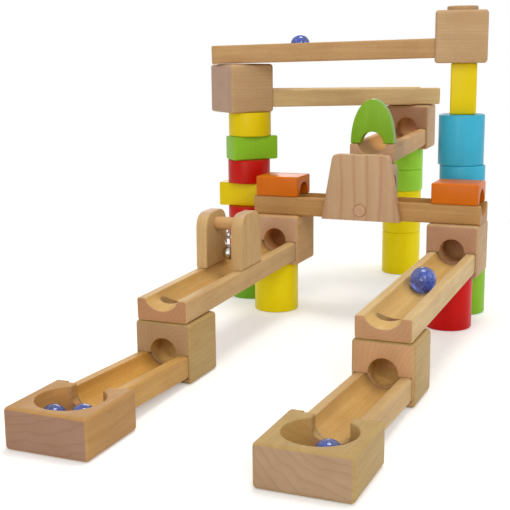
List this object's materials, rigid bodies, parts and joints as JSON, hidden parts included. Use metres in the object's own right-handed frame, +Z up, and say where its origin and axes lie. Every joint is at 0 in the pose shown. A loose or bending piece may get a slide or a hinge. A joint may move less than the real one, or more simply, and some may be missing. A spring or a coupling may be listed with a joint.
{
  "type": "wooden marble run",
  "caption": "Toy marble run of stacked wooden blocks: grooved tracks, a bridge with a sorting rocker, a bell gate and catch trays for glass marbles.",
  "frame": {"origin": "on the floor, in the middle of the whole footprint", "axes": "+X along the level bridge towards the tall entry tower, +Y away from the catch trays, +Z up"},
  "size_m": [0.2466, 0.5424, 0.2435],
  "materials": {
    "beech": "sanded and lightly oiled beech",
    "pine": "sanded pine, lightly oiled",
    "green_paint": "satin stained and lacquered wood",
    "yellow_paint": "satin stained and lacquered wood",
    "red_paint": "satin stained and lacquered wood",
    "blue_paint": "satin stained and lacquered wood",
    "orange_paint": "satin stained and lacquered wood",
    "marble_glass": "blue-violet glass",
    "bell_nickel": "bright nickel plate"
  },
  "bodies": {
    "frame": {"entry_block": "beech", "corner_block": "beech", "turn_block": "beech", "right_upper_block": "beech", "left_upper_block": "beech", "right_lower_block": "beech", "left_lower_block": "beech", "entry_collar": "beech", "entry_post_green": "green_paint", "entry_post_natural": "beech", "entry_post_blue_lower": "blue_paint", "entry_post_blue_upper": "blue_paint", "entry_post_yellow_upright": "yellow_paint", "corner_post_green": "green_paint", "corner_post_red_lower": "red_paint", "corner_post_yellow_brick": "yellow_paint", "corner_post_red_upper": "red_paint", "corner_post_green_brick": "green_paint", "corner_post_yellow_upper": "yellow_paint", "turn_post_yellow_lower": "yellow_paint", "turn_post_yellow_upper": "yellow_paint", "turn_post_green_lower": "green_paint", "turn_post_green_upper": "green_paint", "right_post_red": "red_paint", "left_post_yellow": "yellow_paint", "top_track": "beech", "back_track": "beech", "turn_track": "beech", "green_arch": "green_paint", "right_track": "beech", "left_track": "beech", "gate_plate_left": "beech", "gate_plate_right": "beech", "gate_dowel": "beech", "bell_eye": "bell_nickel", "right_low_track": "beech", "right_tray": "beech", "left_low_track": "beech", "left_tray": "beech", "bridge_track": "beech", "left_tunnel": "orange_paint", "right_tunnel": "orange_paint", "tower_block": "pine", "tower_cheek": "pine", "tower_dowel": "beech"},
    "rocker": {"tower_rocker": "beech"},
    "bell": {"bell_shell": "bell_nickel"},
    "bell_pellet": {"bell_pellet": "bell_nickel"},
    "marble_top": {"marble_top": "marble_glass"},
    "marble_right": {"marble_right": "marble_glass"},
    "marble_tray_left_a": {"marble_tray_left_a": "marble_glass"},
    "marble_tray_left_b": {"marble_tray_left_b": "marble_glass"},
    "marble_tray_right": {"marble_tray_right": "marble_glass"}
  },
  "joints": [
    {"name": "rocker_tilt", "type": "hinge", "parent": "frame", "child": "rocker", "pos_m": [0.0248, 0.07751, 0.088], "axis": [0, 1, 0], "range_deg": [-30, 0]},
    {"name": "bell_swing", "type": "hinge", "parent": "frame", "child": "bell", "pos_m": [-0.0478, -0.03166, 0.07817], "axis": [1, 0, 0], "range_deg": [-40, 40]},
    {"name": "bell_pellet_rattle", "type": "slide", "parent": "bell", "child": "bell_pellet", "axis": [0, 0, 1], "range_m": [0, 0.005]},
    {"name": "marble_top_roll", "type": "slide", "parent": "frame", "child": "marble_top", "axis": [-0.9987, -0.046, -0.0196], "range_m": [-0.1, 0.042]},
    {"name": "marble_right_roll", "type": "slide", "parent": "frame", "child": "marble_right", "axis": [0, -0.9998, -0.0195], "range_m": [-0.079, 0.067]},
    {"name": "marble_tray_left_a_roll", "type": "hinge", "parent": "frame", "child": "marble_tray_left_a", "pos_m": [-0.0478, -0.24469, 0], "axis": [0, 0, 1], "range_deg": [0, 75]},
    {"name": "marble_tray_left_b_roll", "type": "slide", "parent": "frame", "child": "marble_tray_left_b", "axis": [0.9326, 0.361, 0], "range_m": [0, 0.0046]},
    {"name": "marble_tray_right_roll", "type": "slide", "parent": "frame", "child": "marble_tray_right", "axis": [1, 0, 0], "range_m": [-0.014, 0.0066]}
  ]
}
